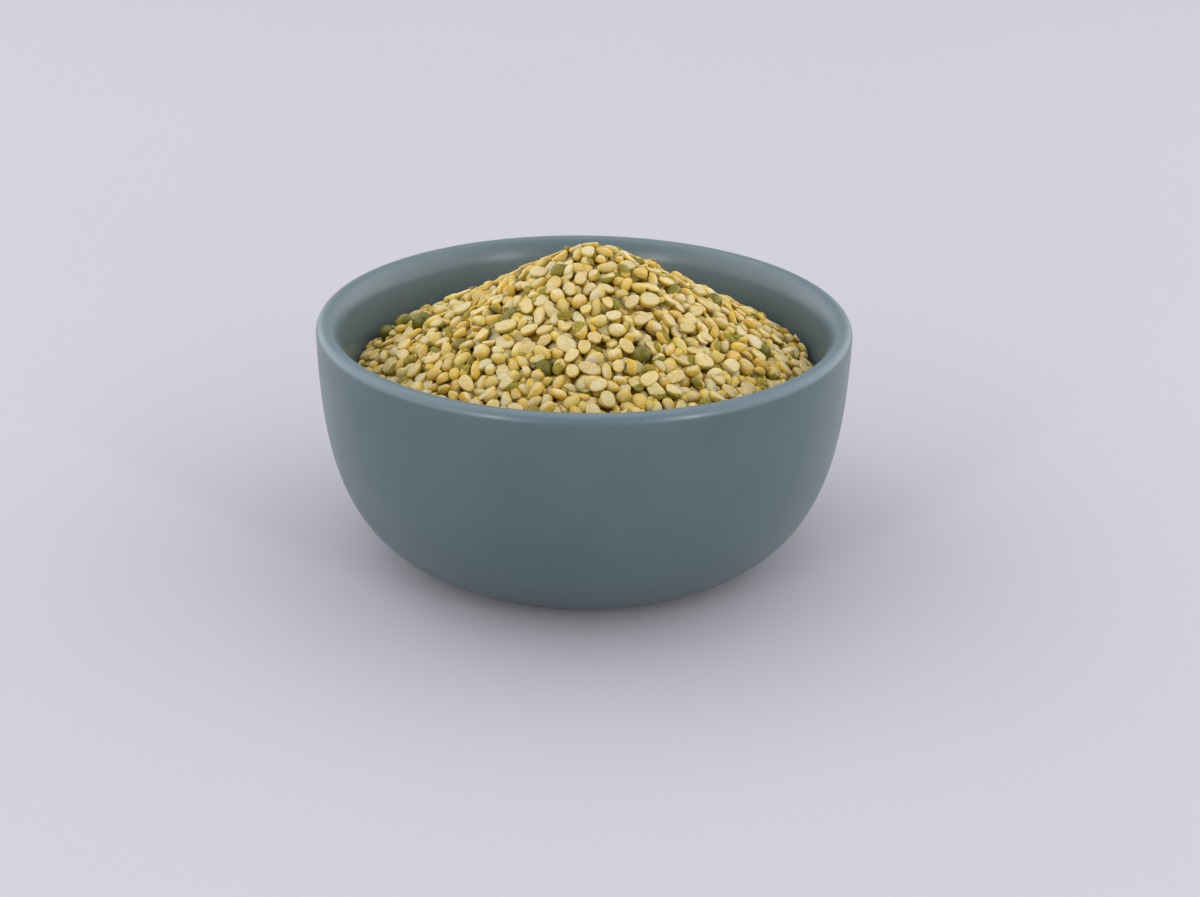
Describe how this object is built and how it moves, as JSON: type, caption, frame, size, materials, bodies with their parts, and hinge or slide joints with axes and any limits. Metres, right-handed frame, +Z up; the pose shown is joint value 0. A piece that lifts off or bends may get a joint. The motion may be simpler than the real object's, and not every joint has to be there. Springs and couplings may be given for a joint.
{
  "type": "bowl of dry lentils",
  "caption": "Round satin-glazed stoneware bowl heaped with dry split lentils, flat on its foot ring.",
  "frame": {"origin": "centre of the bowl's foot, at the level of the surface it stands on", "axes": "+Z up along the bowl's axis, -Y towards the camera"},
  "size_m": [0.12, 0.12, 0.0708],
  "materials": {
    "bowl": "satin grey-blue glaze",
    "lentil_heap": "dry, matt"
  },
  "bodies": {
    "root": {"bowl": "bowl", "lentil_heap": "lentil_heap"}
  },
  "joints": []
}
